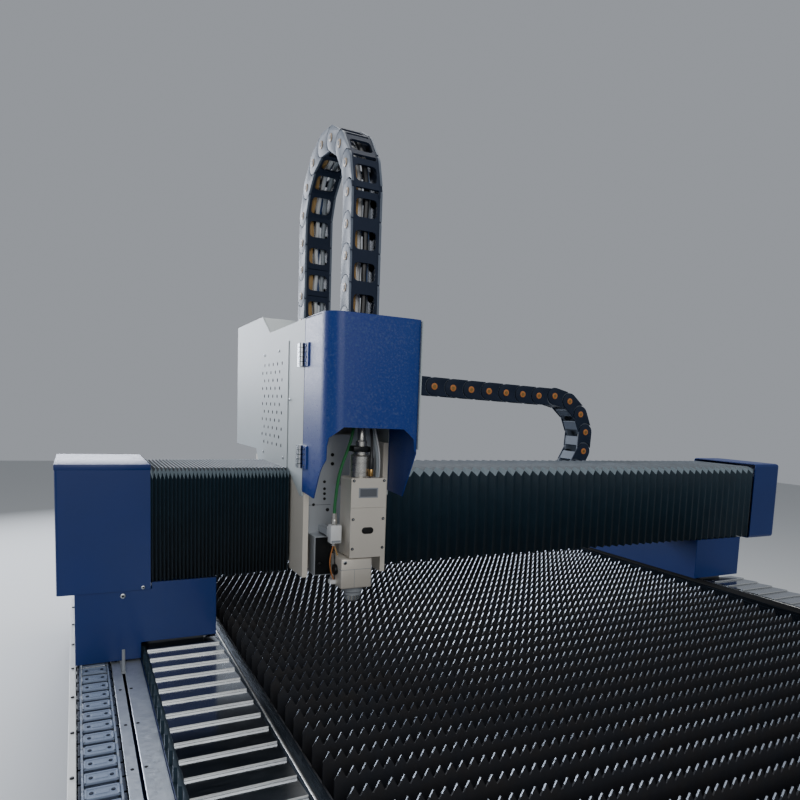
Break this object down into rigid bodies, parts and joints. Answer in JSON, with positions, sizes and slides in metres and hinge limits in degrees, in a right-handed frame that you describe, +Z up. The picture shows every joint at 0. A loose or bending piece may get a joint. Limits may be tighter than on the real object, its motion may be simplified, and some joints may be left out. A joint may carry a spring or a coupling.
{
  "type": "fiber laser cutting machine",
  "caption": "Open-bed gantry laser cutter with sawtooth slat table, bellows-covered beam, hinged head cover, cutting head on a Z slide, drag chains and a scrap drawer.",
  "frame": {"origin": "on the floor under the middle of the bounding box", "axes": "+X along the gantry beam to the right, +Y along the bed to the rear, +Z up"},
  "size_m": [2.242, 4.37, 2.0862],
  "materials": {
    "navy_paint": "satin navy paint",
    "cover_blue": "textured blue powder coat",
    "pale_grey_paint": "pale grey paint",
    "white_paint": "white paint",
    "bellows_fabric": "coated black cloth",
    "black_plastic": "moulded black",
    "machined_steel": "ground",
    "galvanised_steel": "galvanised",
    "slat_steel": "dark, laser cut",
    "stainless_plates": "bright stainless",
    "head_silver": "anodised",
    "copper": "turned",
    "grey_box": "light grey",
    "tan_cable": "cable jacket"
  },
  "bodies": {
    "bed": {"side_beam_left": "navy_paint", "side_beam_right": "navy_paint", "end_plate_front": "navy_paint", "end_plate_rear": "navy_paint", "scrap_floor": "slat_steel", "chain_trough": "white_paint", "slot_plate": "galvanised_steel", "ledge_left": "galvanised_steel", "ledge_right": "galvanised_steel", "slat_table": "slat_steel", "rail_left": "machined_steel", "rail_right": "machined_steel", "rack_left": "machined_steel", "rack_right": "machined_steel", "y_chain": "black_plastic", "bellows_left_front": "stainless_plates", "bellows_left_rear": "stainless_plates", "bellows_right_front": "stainless_plates", "bellows_right_rear": "stainless_plates"},
    "drawer": {"scrap_drawer": "navy_paint"},
    "gantry": {"gantry_beam": "pale_grey_paint", "end_box": "navy_paint", "end_cap": "navy_paint", "saddle_left": "pale_grey_paint", "saddle_right": "pale_grey_paint", "saddle_cover_left": "navy_paint", "saddle_cover_right": "navy_paint", "y_motor_left": "black_plastic", "y_motor_right": "black_plastic", "x_rail_upper": "machined_steel", "x_rail_lower": "machined_steel", "x_rack": "machined_steel", "x_chain_tray": "galvanised_steel", "x_chain": "black_plastic", "bellows_beam_left": "bellows_fabric", "bellows_beam_right": "bellows_fabric"},
    "left_pinion": {"y_pinion_left": "machined_steel"},
    "right_pinion": {"y_pinion_right": "machined_steel"},
    "carriage": {"carriage_plate": "pale_grey_paint", "housing_left": "pale_grey_paint", "housing_right": "pale_grey_paint", "housing_top": "pale_grey_paint", "x_motor": "black_plastic", "z_motor": "black_plastic", "z_chain": "black_plastic", "fibre_cable": "tan_cable", "hinge_upper": "machined_steel", "hinge_lower": "machined_steel"},
    "beam_pinion": {"x_pinion": "machined_steel"},
    "screw": {"z_screw": "machined_steel"},
    "cover": {"front_cover": "cover_blue"},
    "head": {"z_slide": "machined_steel", "head_body": "head_silver", "head_front_plate": "head_silver", "collimator": "head_silver", "head_lower": "head_silver", "nozzle_holder": "black_plastic", "nozzle": "copper", "sensor_box": "grey_box"}
  },
  "joints": [
    {"name": "gantry_travel", "type": "slide", "parent": "bed", "child": "gantry", "axis": [0, 1, 0], "range_m": [-0.99, 2.01], "deforming": ["bellows_left_front", "bellows_left_rear", "bellows_right_front", "bellows_right_rear", "y_chain"]},
    {"name": "carriage_travel", "type": "slide", "parent": "gantry", "child": "carriage", "axis": [1, 0, 0], "range_m": [-0.19, 1.24], "deforming": ["bellows_beam_left", "bellows_beam_right", "x_chain"]},
    {"name": "head_lift", "type": "slide", "parent": "carriage", "child": "head", "axis": [0, 0, 1], "range_m": [-0.095, 0.05], "deforming": ["z_chain", "fibre_cable"]},
    {"name": "cover_hinge", "type": "hinge", "parent": "carriage", "child": "cover", "pos_m": [-0.653, -0.8775, 1.412], "axis": [0, 0, -1], "range_deg": [0, 105]},
    {"name": "drawer_slide", "type": "slide", "parent": "bed", "child": "drawer", "axis": [0, -1, 0], "range_m": [0, 1.2]},
    {"name": "left_pinion_turn", "type": "hinge", "parent": "gantry", "child": "left_pinion", "pos_m": [-0.9135, -0.385, 0.8], "axis": [0, 0, 1], "range_deg": [-5800, 5800]},
    {"name": "right_pinion_turn", "type": "hinge", "parent": "gantry", "child": "right_pinion", "pos_m": [0.8955, -0.385, 0.8], "axis": [0, 0, 1], "range_deg": [-5800, 5800]},
    {"name": "beam_pinion_turn", "type": "hinge", "parent": "carriage", "child": "beam_pinion", "pos_m": [-0.543, -0.5985, 1.24], "axis": [0, 0, 1], "range_deg": [-3600, 3600]},
    {"name": "screw_turn", "type": "hinge", "parent": "carriage", "child": "screw", "pos_m": [-0.583, -0.82, 1.275], "axis": [0, 0, 1], "range_deg": [-1720, 910]}
  ],
  "couplings": [
    {"joint": "left_pinion_turn", "follows": "gantry_travel", "rad_per_m": 50},
    {"joint": "right_pinion_turn", "follows": "gantry_travel", "rad_per_m": -50},
    {"joint": "beam_pinion_turn", "follows": "carriage_travel", "rad_per_m": 50},
    {"joint": "screw_turn", "follows": "head_lift", "rad_per_m": 314.16}
  ]
}
